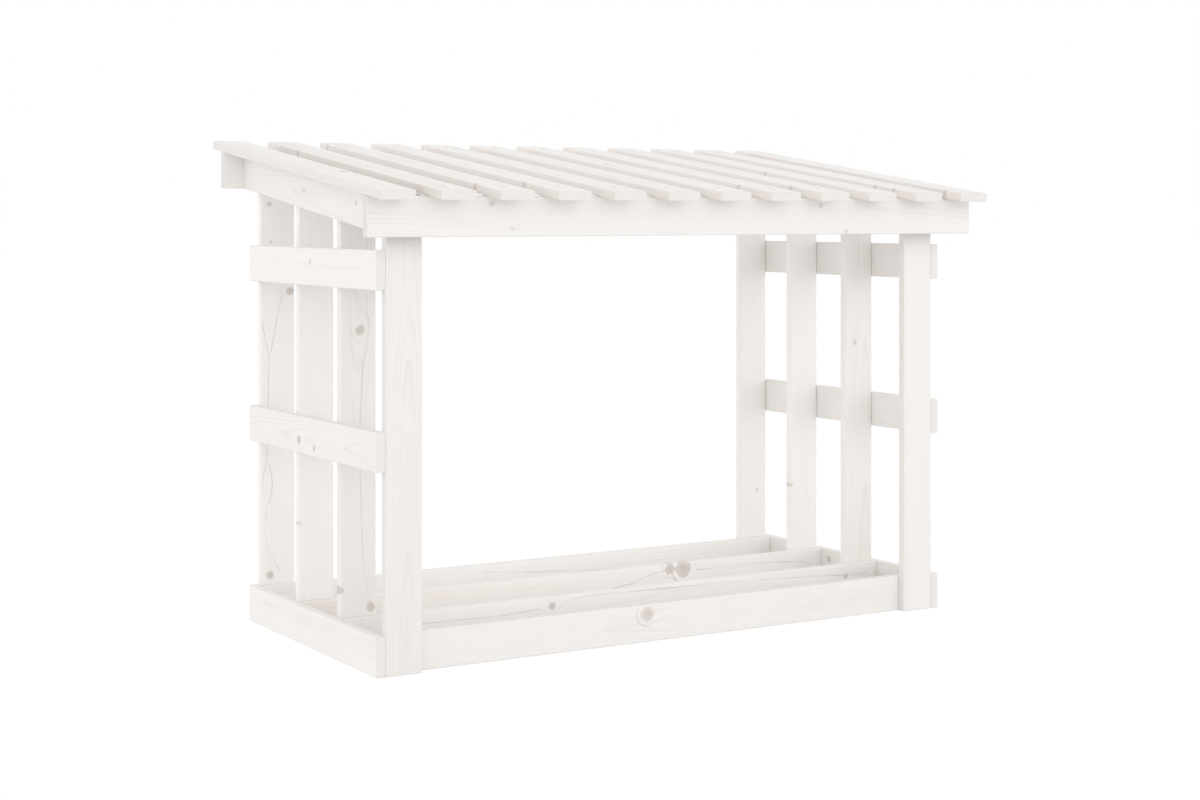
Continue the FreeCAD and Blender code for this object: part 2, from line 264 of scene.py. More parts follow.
def knot_group():
    """How one knot bends the grain around it, and where its body and rim lie."""
    tree = bpy.data.node_groups.new("pine knot", "ShaderNodeTree")
    for name, kind in (("Grain", "NodeSocketVector"), ("Knot", "NodeSocketVector"),
                       ("Ragged", "NodeSocketFloat")):
        tree.interface.new_socket(name, in_out="INPUT", socket_type=kind)
    for name in KNOT_PARTS:
        tree.interface.new_socket(name, in_out="OUTPUT", socket_type="NodeSocketFloat")
    given = add(tree, "NodeGroupInput")
    away = add(tree, VECTOR_MATH, {0: given.outputs["Grain"], 1: given.outputs["Knot"]},
               operation="SUBTRACT")
    along = add(tree, SEPARATE, {0: away})
    radius = add(tree, SEPARATE, {0: given.outputs["Knot"]})
    # The body is a ragged oval, and the grain swerves within a lens three times as long as it is wide.
    oval = add(tree, VECTOR_MATH, {0: away, 1: (0.95, 1, 0)}, operation="MULTIPLY")
    oval = add(tree, VECTOR_MATH, {0: oval}, operation="LENGTH")
    ragged = add(tree, MATH, {0: oval.outputs["Value"], 1: given.outputs["Ragged"]}, operation="MULTIPLY")
    reach = add(tree, MATH, {0: ragged, 1: radius.outputs[2]}, operation="DIVIDE")
    lens = add(tree, VECTOR_MATH, {0: away, 1: (0.34, 1, 0)}, operation="MULTIPLY")
    lens = add(tree, VECTOR_MATH, {0: lens}, operation="LENGTH")
    lens = add(tree, MATH, {0: lens.outputs["Value"], 1: radius.outputs[2]}, operation="DIVIDE")
    lens = add(tree, MATH, {0: lens, 1: 0.62}, operation="MULTIPLY")
    lens = add(tree, MATH, {0: lens, 1: lens}, operation="MULTIPLY")
    lens = add(tree, MATH, {0: lens, 1: -1}, operation="MULTIPLY")
    halo = add(tree, MATH, {0: lens}, operation="EXPONENT")
    shift = add(tree, MATH, {0: along.outputs[1], 1: halo}, operation="MULTIPLY")
    shift = add(tree, MATH, {0: shift, 1: -0.82}, operation="MULTIPLY")
    # Small knots are fainter.
    clear = add(tree, MAP_RANGE, {0: radius.outputs[2], 1: 3 * MM, 2: 6 * MM, 3: 0.5, 4: 1.0})
    body = add(tree, MAP_RANGE, {0: reach, 1: 1.15, 2: 0.8}, interpolation_type="SMOOTHSTEP")
    body = add(tree, MATH, {0: body, 1: clear}, operation="MULTIPLY")
    rim = add(tree, MATH, {0: reach, 1: 0.98}, operation="SUBTRACT")
    rim = add(tree, MATH, {0: rim}, operation="ABSOLUTE")
    rim = add(tree, MAP_RANGE, {0: rim, 1: 0.2, 2: 0.02}, interpolation_type="SMOOTHSTEP")
    # A ring line round one side of a large knot, where the wood grew over it.
    aside = add(tree, VECTOR_MATH, {0: away, 1: (-0.8, -0.6, 0)}, operation="DOT_PRODUCT")
    aside = add(tree, MATH, {0: aside.outputs["Value"], 1: radius.outputs[2]}, operation="DIVIDE")
    aside = add(tree, MAP_RANGE, {0: aside, 1: 0.3, 2: 1.1}, interpolation_type="SMOOTHSTEP")
    collar = add(tree, MATH, {0: reach, 1: 1.75}, operation="SUBTRACT")
    collar = add(tree, MATH, {0: collar}, operation="ABSOLUTE")
    collar = add(tree, MAP_RANGE, {0: collar, 1: 0.2, 2: 0.04}, interpolation_type="SMOOTHSTEP")
    collar = add(tree, MATH, {0: collar, 1: aside}, operation="MULTIPLY")
    large = add(tree, MAP_RANGE, {0: radius.outputs[2], 1: 7 * MM, 2: 9 * MM})
    collar = add(tree, MATH, {0: collar, 1: large}, operation="MULTIPLY")
    add(tree, "NodeGroupOutput", {
        "Shift": shift, "Body": body, "Rim": rim, "Halo": halo, "Reach": reach, "Collar": collar})
    return tree


def white_stained_pine(colours, sizes):
    """White-stained pine: planed softwood under a thin white glaze.

    The glaze is matt and nearly hides the soft wood. The hard ring lines, the pinkish heart and the brown
    knots show through it. Edges keep less of it, and cut ends soak it up and look darker. The slats' narrow
    sides carry painted shade, and a board's tone is partly painted light and shade.
    """
    material, tree = blank_material("white stained pine")
    stored = {name: add(tree, ATTRIBUTE, attribute_name=name).outputs
              for name in ("grain", "half", "pith", "tone_and_light", "seed", "thin")}
    grain, half, pith = (stored[name]["Vector"] for name in ("grain", "half", "pith"))
    tone_and_light, seed, thin = (stored[name]["Fac"] for name in ("tone_and_light", "seed", "thin"))
    place = add(tree, SEPARATE, {0: grain})
    inner = add(tree, VECTOR_MATH, {0: grain}, operation="ABSOLUTE")
    inner = add(tree, VECTOR_MATH, {0: half, 1: inner}, operation="SUBTRACT")
    inner = add(tree, SEPARATE, {0: inner})
    pith = add(tree, SEPARATE, {0: pith})

    noises = []
    for repeats, detail in GRAIN_NOISES:
        way = add(tree, VECTOR_MATH, {0: grain, 1: repeats}, operation="MULTIPLY")
        noises.append(add(tree, NOISE, {"Vector": way, "W": seed, "Scale": 1.0, "Detail": detail},
                          noise_dimensions="4D"))
    sway, tremble, fibre, cloud, speck = noises
    ragged = add(tree, MAP_RANGE, {0: speck, 1: 0.25, 2: 0.75, 3: 0.8, 4: 1.2})

    group = knot_group()
    joined = {}
    for name in KNOT_NAMES:
        spot = add(tree, ATTRIBUTE, attribute_name=name).outputs["Vector"]
        knot = add(tree, "ShaderNodeGroup", node_tree=group)
        for socket, source in (("Grain", grain), ("Knot", spot), ("Ragged", ragged.outputs[0])):
            tree.links.new(source, knot.inputs[socket])
        for part, how in KNOT_PARTS.items():
            found = knot.outputs[part]
            if part in joined:
                found = add(tree, MATH, {0: joined[part], 1: found}, operation=how)
            joined[part] = found
    shift, body, rim, halo, reach, collar = joined.values()

    # Year rings round a pith that lies beside the board and drifts along it.
    across = add(tree, MATH, {0: place.outputs[1], 1: shift}, operation="ADD")
    across = add(tree, MATH, {0: across, 1: pith.outputs[0]}, operation="SUBTRACT")
    depth = add(tree, MATH, {0: place.outputs[2], 1: pith.outputs[1]}, operation="SUBTRACT")
    round_pith = add(tree, "ShaderNodeCombineXYZ", {0: across, 1: depth})
    round_pith = add(tree, VECTOR_MATH, {0: round_pith}, operation="LENGTH").outputs["Value"]
    drift = add(tree, MATH, {0: place.outputs[0], 1: pith.outputs[2], 2: round_pith},
                operation="MULTIPLY_ADD")
    drift = add(tree, MATH, {0: sway, 1: 12 * MM, 2: drift}, operation="MULTIPLY_ADD")
    drift = add(tree, MATH, {0: tremble, 1: 1.6 * MM, 2: drift}, operation="MULTIPLY_ADD")
    ring = add(tree, MATH, {0: drift, 1: sizes.ring_spacing}, operation="DIVIDE")
    year = add(tree, MATH, {0: ring}, operation="FLOOR")
    season = add(tree, MATH, {0: ring}, operation="FRACT")
    late = add(tree, MAP_RANGE, {0: season, 1: 0.35, 2: 0.86}, interpolation_type="SMOOTHSTEP")
    over = add(tree, MAP_RANGE, {0: season, 1: 1.0, 2: 0.9}, interpolation_type="SMOOTHSTEP")
    late = add(tree, MATH, {0: late, 1: over}, operation="MULTIPLY")
    year = add(tree, MATH, {0: seed, 1: 17.0, 2: year}, operation="MULTIPLY_ADD")
    strong = add(tree, "ShaderNodeTexWhiteNoise", {"W": year}, noise_dimensions="1D").outputs["Value"]
    strong = add(tree, MATH, {0: strong, 1: 2.2}, operation="POWER")
    patchy = add(tree, MAP_RANGE, {0: cloud, 1: 0.3, 2: 0.65, 3: 0.04, 4: 0.38})
    strong = add(tree, MATH, {0: strong, 1: 0.14}, operation="ADD")
    near = add(tree, MATH, {0: halo, 1: 0.2, 2: patchy}, operation="MULTIPLY_ADD")
    strong = add(tree, MATH, {0: strong, 1: near}, operation="MULTIPLY", use_clamp=True)
    late = add(tree, MATH, {0: late, 1: strong}, operation="MULTIPLY")

    # The colour of the glazed wood: heart, fibres and ring lines.
    heart = add(tree, MAP_RANGE, {0: drift, 1: 32 * MM, 2: 10 * MM}, interpolation_type="SMOOTHSTEP")
    heart = add(tree, MATH, {0: heart, 1: cloud}, operation="MULTIPLY")
    streak = add(tree, MAP_RANGE, {0: fibre, 1: 0.45, 2: 0.8, 3: 0.0, 4: 0.25})
    colour = (*colours.stain, 1)
    for share, shade in ((heart, colours.heart), (streak, colours.cut), (late, colours.late_wood_and_side_shade)):
        colour = add(tree, MIX, {"Factor": share, "A": colour, "B": (*shade, 1)}, data_type="RGBA")

    # The board's tone, partly its own and partly painted light and shade, and painted shade on the slats'
    # narrow sides.
    # A tone above zero darkens the whole board: partly its own tone, partly painted shade.
    dull = add(tree, MAP_RANGE, {0: tone_and_light, 3: 1.0, 4: 0.855})
    colour = add(tree, VECTOR_MATH, {0: colour, "Scale": dull}, operation="SCALE")
    # A tone below zero whitens the board: painted light.
    pale = add(tree, MATH, {0: tone_and_light, 1: -1.0}, operation="MULTIPLY", use_clamp=True)
    # Painted shade: a board's narrow sides darken towards the late-wood colour, by its share of painted side
    # shade.
    flank = add(tree, MAP_RANGE, {0: inner.outputs[1], 1: 1.0 * MM, 2: 0.2 * MM})
    flank = add(tree, MATH, {0: flank, 1: thin}, operation="MULTIPLY")

    # Dark grain lines, about 2 mm wide and fainter in places.
    vein = None
    wander = add(tree, MATH, {0: tremble, 1: 3 * MM, 2: place.outputs[1]}, operation="MULTIPLY_ADD")
    for name in LINE_NAMES:
        line = add(tree, ATTRIBUTE, attribute_name=name).outputs["Fac"]
        line = add(tree, MATH, {0: line, 1: 1.5 * MM}, operation="ADD")
        line = add(tree, MATH, {0: wander, 1: line}, operation="SUBTRACT")
        line = add(tree, MATH, {0: line}, operation="ABSOLUTE")
        line = add(tree, MAP_RANGE, {0: line, 1: 1.3 * MM, 2: 0.2 * MM}, interpolation_type="SMOOTHSTEP")
        vein = add(tree, MATH, {0: vein, 1: line}, operation="MAXIMUM") if vein else line
    faint = add(tree, MAP_RANGE, {0: tremble, 1: 0.35, 2: 0.65, 3: 0.1, 4: 0.65})
    vein = add(tree, MATH, {0: vein, 1: faint}, operation="MULTIPLY")

    # Knots, with rings of their own, a dark core and a cracked rim.
    rings = add(tree, MATH, {0: reach, 1: 5.0}, operation="MULTIPLY")
    rings = add(tree, MATH, {0: rings}, operation="FRACT")
    rings = add(tree, MAP_RANGE, {0: rings, 1: 0.2, 2: 0.9, 3: 0.88, 4: 1.0})
    inside = add(tree, MATH, {0: body, 1: rings}, operation="MULTIPLY")
    core = add(tree, MAP_RANGE, {0: reach, 1: 0.9, 2: 0.2, 3: 0.0, 4: 0.3}, interpolation_type="SMOOTHSTEP")
    crack = add(tree, MAP_RANGE, {0: tremble, 1: 0.4, 2: 0.6, 3: 0.1, 4: 0.5})
    edge = add(tree, MATH, {0: rim, 1: crack}, operation="MULTIPLY")
    mark = add(tree, MATH, {0: core, 1: edge}, operation="MAXIMUM")
    mark = add(tree, MATH, {0: mark, 1: body}, operation="MULTIPLY")
    collar = add(tree, MATH, {0: collar, 1: 0.35}, operation="MULTIPLY")
    mark = add(tree, MATH, {0: mark, 1: collar}, operation="MAXIMUM")

    # Worn edges and cut ends, laid over the rest, and then the relief of the wood.
    corner = add(tree, MATH, {0: inner.outputs[1], 1: inner.outputs[2]}, operation="MAXIMUM")
    worn = add(tree, MAP_RANGE, {0: corner, 1: 3.0 * MM, 2: 0.6 * MM, 3: 0.0, 4: 0.55},
               interpolation_type="SMOOTHSTEP")
    worn = add(tree, MATH, {0: worn, 1: speck}, operation="MULTIPLY")
    sawn = add(tree, MAP_RANGE, {0: inner.outputs[0], 1: 0.5 * MM, 2: 0.1 * MM})
    for share, shade in ((pale, colours.painted_light_white), (flank, colours.late_wood_and_side_shade), (vein, colours.vein),
                         (inside, colours.knot), (mark, colours.knot_rim), (worn, colours.cut),
                         (sawn, colours.end_grain)):
        colour = add(tree, MIX, {"Factor": share, "A": colour, "B": (*shade, 1)}, data_type="RGBA")

    rough = add(tree, MAP_RANGE, {0: fibre, 1: 0.3, 2: 0.7, 3: 0.58, 4: 0.72})
    raised = add(tree, MATH, {0: late, 1: 0.6, 2: fibre}, operation="MULTIPLY_ADD")
    raised = add(tree, MATH, {0: mark, 1: -0.8, 2: raised}, operation="MULTIPLY_ADD")
    bump = add(tree, "ShaderNodeBump", {"Strength": 0.35, "Distance": 0.3 * MM, "Height": raised})
    shader = add(tree, "ShaderNodeBsdfPrincipled", {
        "Base Color": colour, "Roughness": rough, "Normal": bump, "IOR": 1.5})
    add(tree, "ShaderNodeOutputMaterial", {"Surface": shader})
    return material


def zinc_plated_steel(colours):
    """Zinc plated steel: pressed screw heads with a dull, faintly clouded bright coat."""
    material, tree = blank_material("zinc plated steel")
    place = add(tree, "ShaderNodeTexCoord").outputs["Object"]
    # Spangle of the coat, about 1.5 mm across.
    cloud = add(tree, NOISE, {"Vector": place, "Scale": 1 / (1.5 * MM), "Detail": 2.0})
    dull = [c * 0.8 for c in colours.zinc]
    colour = add(tree, MIX, {"Factor": cloud, "A": (*colours.zinc, 1), "B": (*dull, 1)}, data_type="RGBA")
    rough = add(tree, MAP_RANGE, {0: cloud, 1: 0.3, 2: 0.7, 3: 0.3, 4: 0.45})
    shader = add(tree, "ShaderNodeBsdfPrincipled",
                 {"Base Color": colour, "Roughness": rough, "Metallic": 1.0})
    add(tree, "ShaderNodeOutputMaterial", {"Surface": shader})
    return material


def bare_beech(colours):
    """Bare beech: turned dowel rod, pale tan with short brown flecks."""
    material, tree = blank_material("bare beech")
    place = add(tree, "ShaderNodeTexCoord").outputs["Object"]
    # Flecks about 1 mm wide.
    fleck = add(tree, NOISE, {"Vector": place, "Scale": 1 / (1.0 * MM), "Detail": 2.0})
    dark = [c * 0.7 for c in colours.beech]
    fleck = add(tree, MAP_RANGE, {0: fleck, 1: 0.5, 2: 0.7})
    colour = add(tree, MIX, {"Factor": fleck, "A": (*colours.beech, 1), "B": (*dark, 1)}, data_type="RGBA")
    shader = add(tree, "ShaderNodeBsdfPrincipled", {"Base Color": colour, "Roughness": 0.6})
    add(tree, "ShaderNodeOutputMaterial", {"Surface": shader})
    return material


def finish_named(context, name):
    """One of the rack's materials, made when it is first asked for."""
    known = bpy.data.materials.get(name)
    if known:
        return known
    colours, sizes = context.scene.rack_colours, context.scene.rack_sizes
    makers = {"white stained pine": lambda: white_stained_pine(colours, sizes),
              "zinc plated steel": lambda: zinc_plated_steel(colours),
              "bare beech": lambda: bare_beech(colours)}
    return makers[name]()


def plank_tree():
    """Planks with eased edges laid at points: each is cut, bowed slightly and chamfered at its ends."""
    known = bpy.data.node_groups.get("plank course")
    if known:
        return known
    tree = bpy.data.node_groups.new("plank course", "GeometryNodeTree")
    for name, kind in (("Boards", "NodeSocketGeometry"), ("Width", "NodeSocketFloat"),
                       ("Thickness", "NodeSocketFloat"), ("Edge Radius", "NodeSocketFloat"),
                       ("End Chamfer", "NodeSocketFloat"), ("Bow", "NodeSocketFloat"),
                       ("Stations", "NodeSocketInt"), ("Seed", "NodeSocketFloat"),
                       ("Material", "NodeSocketMaterial")):
        tree.interface.new_socket(name, in_out="INPUT", socket_type=kind)
    tree.interface.new_socket("Course", in_out="OUTPUT", socket_type="NodeSocketGeometry")
    given = add(tree, "NodeGroupInput").outputs
    named = {name: add(tree, "GeometryNodeInputNamedAttribute", {"Name": name}, data_type=kind).outputs[0]
             for name, kind in (("turn", "FLOAT_VECTOR"), ("half", "FLOAT_VECTOR"), ("along", "FLOAT_VECTOR"),
                                ("across", "FLOAT_VECTOR"), ("through", "FLOAT_VECTOR"),
                                ("low_cut", "FLOAT_VECTOR"), ("high_cut", "FLOAT_VECTOR"),
                                ("grain", "FLOAT_VECTOR"), ("bevel", "FLOAT"), ("seed", "FLOAT"),
                                ("cap", "BOOLEAN"))}

    # One plank, one unit long.
    section = add(tree, "GeometryNodeCurvePrimitiveQuadrilateral",
                  {"Width": given["Width"], "Height": given["Thickness"]}, mode="RECTANGLE")
    section = add(tree, "GeometryNodeFilletCurve", {"Curve": section, "Radius": given["Edge Radius"]},
                  mode="POLY")
    section.inputs["Count"].default_value = EASING_POINTS
    spine = add(tree, "GeometryNodeCurvePrimitiveLine", {"Start": (-0.5, 0, 0), "End": (0.5, 0, 0)},
                mode="POINTS")
    spine = add(tree, "GeometryNodeResampleCurve", {"Curve": spine, "Count": given["Stations"]}, mode="COUNT")
    plank = add(tree, "GeometryNodeCurveToMesh",
                {"Curve": spine, "Profile Curve": section, "Fill Caps": True})

    # Only the eased edges are shaded smooth, and the ends are marked for their chamfers.
    facing = add(tree, VECTOR_MATH, {0: add(tree, "GeometryNodeInputNormal")}, operation="ABSOLUTE")
    facing = add(tree, SEPARATE, {0: facing})
    flat = add(tree, MATH, {0: facing.outputs[0], 1: facing.outputs[1]}, operation="MAXIMUM")
    flat = add(tree, MATH, {0: flat, 1: facing.outputs[2]}, operation="MAXIMUM")
    eased = add(tree, "FunctionNodeCompare", {0: flat, 1: 0.995}, operation="LESS_THAN")
    cap = add(tree, "FunctionNodeCompare", {0: facing.outputs[0], 1: 0.9}, operation="GREATER_THAN")
    plank = add(tree, "GeometryNodeSetShadeSmooth", {"Geometry": plank, "Shade Smooth": eased}, domain="FACE")
    plank = add(tree, "GeometryNodeStoreNamedAttribute", {"Geometry": plank, "Name": "cap", "Value": cap},
                data_type="BOOLEAN", domain="FACE")
    plank = add(tree, "GeometryNodeStoreNamedAttribute",
                {"Geometry": plank, "Name": "grain", "Value": add(tree, "GeometryNodeInputPosition")},
                data_type="FLOAT_VECTOR", domain="POINT")

    # A plank at every point, as long as its board.
    half = add(tree, SEPARATE, {0: named["half"]})
    length = add(tree, MATH, {0: half.outputs[0], 1: 2.0}, operation="MULTIPLY")
    stretch = add(tree, "ShaderNodeCombineXYZ", {0: length, 1: 1.0, 2: 1.0})
    turn = add(tree, "FunctionNodeEulerToRotation", {0: named["turn"]})
    course = add(tree, "GeometryNodeInstanceOnPoints",
                 {"Points": given["Boards"], "Instance": plank, "Rotation": turn, "Scale": stretch})
    course = add(tree, "GeometryNodeRealizeInstances", {"Geometry": course})
    grain = add(tree, VECTOR_MATH, {0: named["grain"], 1: stretch}, operation="MULTIPLY")
    course = add(tree, "GeometryNodeStoreNamedAttribute",
                 {"Geometry": course, "Name": "grain", "Value": grain},
                 data_type="FLOAT_VECTOR", domain="POINT")

    # Slanting end cuts, a bevelled upper edge and a slight bow.
    place = add(tree, SEPARATE, {0: named["grain"]})
    high = add(tree, "FunctionNodeCompare", {0: place.outputs[0], 1: 0.0}, operation="GREATER_THAN")
    cut = add(tree, "GeometryNodeSwitch",
              {"Switch": high, "False": named["low_cut"], "True": named["high_cut"]}, input_type="VECTOR")
    cut = add(tree, VECTOR_MATH, {0: named["grain"], 1: cut}, operation="DOT_PRODUCT")
    short = add(tree, MATH, {0: half.outputs[0], 1: 0.1 * MM}, operation="SUBTRACT")
    reach = add(tree, MATH, {0: place.outputs[0]}, operation="ABSOLUTE")
    ending = add(tree, MATH, {0: reach, 1: short}, operation="GREATER_THAN")
    cut = add(tree, MATH, {0: cut.outputs["Value"], 1: ending}, operation="MULTIPLY")
    upper = add(tree, MATH, {0: place.outputs[1], 1: 0.0}, operation="GREATER_THAN")
    lift = add(tree, MATH, {0: named["bevel"], 1: place.outputs[2]}, operation="MULTIPLY")
    lift = add(tree, MATH, {0: lift, 1: upper}, operation="MULTIPLY")
    course_seed = add(tree, MATH, {0: named["seed"], 1: given["Seed"]}, operation="ADD")
    # The bow has a wave of about 400 mm.
    wave = add(tree, MATH, {0: place.outputs[0], 1: 2.5}, operation="MULTIPLY")
    wave = add(tree, "ShaderNodeCombineXYZ", {0: wave, 1: course_seed})
    wave = add(tree, NOISE, {"Vector": wave, "Scale": 1.0, "Detail": 1.0}, noise_dimensions="3D")
    wave = add(tree, VECTOR_MATH, {0: wave.outputs["Color"], 1: (0.5, 0.5, 0.5)}, operation="SUBTRACT")
    wave = add(tree, VECTOR_MATH, {0: wave, "Scale": given["Bow"]}, operation="SCALE")
    wave = add(tree, SEPARATE, {0: wave})
    lift = add(tree, MATH, {0: lift, 1: wave.outputs[0]}, operation="ADD")
    push = add(tree, VECTOR_MATH, {0: named["along"], "Scale": cut}, operation="SCALE")
    rise = add(tree, VECTOR_MATH, {0: named["across"], "Scale": lift}, operation="SCALE")
    sink = add(tree, VECTOR_MATH, {0: named["through"], "Scale": wave.outputs[1]}, operation="SCALE")
    offset = add(tree, VECTOR_MATH, {0: push, 1: rise}, operation="ADD")
    offset = add(tree, VECTOR_MATH, {0: offset, 1: sink}, operation="ADD")
    course = add(tree, "GeometryNodeSetPosition", {"Geometry": course, "Offset": offset})

    # Chamfers round the ends.
    capped = add(tree, "GeometryNodeExtrudeMesh",
                 {"Mesh": course, "Selection": named["cap"], "Offset Scale": given["End Chamfer"],
                  "Individual": False}, mode="FACES")
    inward = add(tree, VECTOR_MATH, {0: named["grain"]}, operation="SIGN")
    inward = add(tree, VECTOR_MATH, {0: inward, "Scale": given["End Chamfer"]}, operation="SCALE")
    inward = add(tree, SEPARATE, {0: inward})
    rise = add(tree, VECTOR_MATH, {0: named["across"], "Scale": inward.outputs[1]}, operation="SCALE")
    sink = add(tree, VECTOR_MATH, {0: named["through"], "Scale": inward.outputs[2]}, operation="SCALE")
    offset = add(tree, VECTOR_MATH, {0: rise, 1: sink}, operation="ADD")
    offset = add(tree, VECTOR_MATH, {0: offset, "Scale": -1.0}, operation="SCALE")
    course = add(tree, "GeometryNodeSetPosition",
                 {"Geometry": capped.outputs["Mesh"], "Selection": capped.outputs["Top"], "Offset": offset})

    course = add(tree, "GeometryNodeSetMaterial", {"Geometry": course, "Material": given["Material"]})
    add(tree, "NodeGroupOutput", {"Course": course})
    return tree


def screw_tree():
    """The same screw set at every point, turned to the point's own direction."""
    known = bpy.data.node_groups.get("screws at points")
    if known:
        return known
    tree = bpy.data.node_groups.new("screws at points", "GeometryNodeTree")
    for name, kind in (("Places", "NodeSocketGeometry"), ("Screw", "NodeSocketObject"),
                       ("Material", "NodeSocketMaterial")):
        tree.interface.new_socket(name, in_out="INPUT", socket_type=kind)
    tree.interface.new_socket("Screws", in_out="OUTPUT", socket_type="NodeSocketGeometry")
    given = add(tree, "NodeGroupInput").outputs
    turn = add(tree, "GeometryNodeInputNamedAttribute", {"Name": "turn"}, data_type="FLOAT_VECTOR")
    turn = add(tree, "FunctionNodeEulerToRotation", {0: turn})
    form = add(tree, "GeometryNodeObjectInfo", {"Object": given["Screw"]}).outputs["Geometry"]
    screws = add(tree, "GeometryNodeInstanceOnPoints",
                 {"Points": given["Places"], "Instance": form, "Rotation": turn})
    screws = add(tree, "GeometryNodeRealizeInstances", {"Geometry": screws})
    screws = add(tree, "GeometryNodeSetMaterial", {"Geometry": screws, "Material": given["Material"]})
    add(tree, "NodeGroupOutput", {"Screws": screws})
    return tree


def grown(context, name, points, tree, values, least):
    """Runs a tree on points with attributes and keeps the result as one plain mesh object.

    It is an error if the mesh has fewer faces than the value least.
    """
    mesh = bpy.data.meshes.new(name)
    mesh.from_pydata([p["place"] for p in points], [], [])
    for key in points[0]:
        if key == "place":
            continue
        vector = not isinstance(points[0][key], float)
        layer = mesh.attributes.new(key, "FLOAT_VECTOR" if vector else "FLOAT", "POINT")
        flat = np.array([p[key] for p in points], np.float32).ravel()
        layer.data.foreach_set("vector" if vector else "value", flat)
    piece = bpy.data.objects.new(name, mesh)
    context.scene.collection.objects.link(piece)
    modifier = piece.modifiers.new("grow", "NODES")
    modifier.node_group = tree
    for item in tree.interface.items_tree:
        if item.in_out == "INPUT" and item.name in values:
            modifier[item.identifier] = values[item.name]
    context.view_layer.update()
    graph = context.evaluated_depsgraph_get()
    done = bpy.data.meshes.new_from_object(piece.evaluated_get(graph), depsgraph=graph)
    piece.modifiers.remove(modifier)
    piece.data = done
    done.name = name
    bpy.data.meshes.remove(mesh)
    for key in [a.name for a in done.attributes]:
        if key in PLACING:
            done.attributes.remove(done.attributes[key])
    if len(done.polygons) < least:
        raise RuntimeError(f"{name} came out with {len(done.polygons)} faces")
    return piece


def board(node, axes):
    """Where one board lies: its middle, half sizes and directions, from its box in the frame."""
    low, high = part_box(node)
    along, across = axes
    through = along.cross(across)
    middle, size = (low + high) / 2, high - low
    half = Vector((abs(along.dot(size)), abs(across.dot(size)), abs(through.dot(size)))) / 2
    return {"middle": middle, "half": half, "axes": (along, across, through)}


def point(node, spot, sizes, low_cut=(0, 0, 0), high_cut=(0, 0, 0), bevel=0.0, thin=0.0):
    """One point for the plank tree, with the board's own figure drawn from its name.

    The last value is how much painted shade darkens the board's narrow sides.
    """
    along, across, through = spot["axes"]
    half = spot["half"].copy()
    half.x -= sizes.end_chamfer
    draw = random.Random("pine " + node)
    knots = [Vector(k) * MM for k in KNOTS.get(node, ())]
    if node not in KNOTS:
        for _ in range(draw.choice(KNOT_COUNTS)):
            knots.append(Vector((draw.uniform(-KNOT_SPREAD, KNOT_SPREAD) * half.x,
                                 draw.uniform(-KNOT_SPREAD, KNOT_SPREAD) * half.y,
                                 draw.uniform(*KNOT_RADII) * MM)))
    pith = (draw.uniform(-PITH_ASIDE, PITH_ASIDE) * MM,
            draw.choice((-1, 1)) * draw.uniform(*PITH_DEPTHS) * MM,
            draw.uniform(-PITH_DRIFT, PITH_DRIFT))
    made = {"place": spot["middle"], "half": half, "along": along, "across": across, "through": through,
            "turn": Matrix((along, across, through)).transposed().to_euler(), "low_cut": low_cut,
            "high_cut": high_cut, "bevel": float(bevel), "seed": draw.uniform(*SEEDS), "pith": pith,
            "tone_and_light": TONES_AND_PAINTED_LIGHT.get(node, TONES_AND_PAINTED_LIGHT.get(node.rsplit("_", 1)[0], 0.0)), "thin": thin}
    for at, name in enumerate(KNOT_NAMES):
        made[name] = knots[at] if at < len(knots) else NO_KNOT
    return made


def draw_lines(mesh, points, nodes):
    """Stores at every corner how far across its board the dark grain lines pass there."""
    count = len(mesh.vertices)
    seed, grain = np.empty(count, np.float32), np.empty(3 * count, np.float32)
    mesh.attributes["seed"].data.foreach_get("value", seed)
    mesh.attributes["grain"].data.foreach_get("vector", grain)
    for at, name in enumerate(LINE_NAMES):
        pass_at = np.full(count, FAR, np.float32)
        for node, spot in zip(nodes, points):
            lines = GRAIN_LINES.get(node, ())
            if at < len(lines):
                along, across = np.array(lines[at]).T * MM
                mine = np.isclose(seed, spot["seed"])
                pass_at[mine] = np.interp(grain[0::3][mine], along, across, left=FAR, right=FAR)
        mesh.attributes.new(name, "FLOAT", "POINT").data.foreach_set("value", pass_at)


def lay(context, name, points, nodes):
    """Grows a course of boards that share one section, and lets it stand for their frame nodes."""
    sizes = context.scene.rack_sizes
    half = points[0]["half"]
    values = {"Width": 2 * half.y, "Thickness": 2 * half.z, "Edge Radius": sizes.edge_radius,
              "End Chamfer": sizes.end_chamfer, "Bow": 2 * sizes.bow, "Stations": STATIONS,
              "Seed": BOW_SEED, "Material": finish_named(context, "white stained pine")}
    piece = grown(context, name, points, plank_tree(), values, PLANK_FACES * len(points))
    draw_lines(piece.data, points, nodes)
    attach(piece, "root")
    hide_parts(*nodes)


class BaseBoards(bpy.types.Operator):
    """Four base boards on edge on the ground"""

    bl_idname = "rack.base_boards"
    bl_label = "Base Boards"

    def execute(self, context):
        sizes = context.scene.rack_sizes
        nodes = ["left_base_board", "right_base_board", "front_base_board", "back_base_board"]
        lines = [(Y_AXIS, Z_AXIS)] * 2 + [(X_AXIS, Z_AXIS)] * 2
        points = [point(node, board(node, axes), sizes) for node, axes in zip(nodes, lines)]
        lay(context, "base_boards", points, nodes)
        return {"FINISHED"}


class LogBearers(bpy.types.Operator):
    """Boards on edge across the base, which the logs lie on"""

    bl_idname = "rack.log_bearers"
    bl_label = "Log Bearers"

    def execute(self, context):
        nodes = sorted(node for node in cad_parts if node.startswith("log_bearer"))
        points = [point(node, board(node, (X_AXIS, Z_AXIS)), context.scene.rack_sizes) for node in nodes]
        lay(context, "cross_bearers", points, nodes)
        return {"FINISHED"}


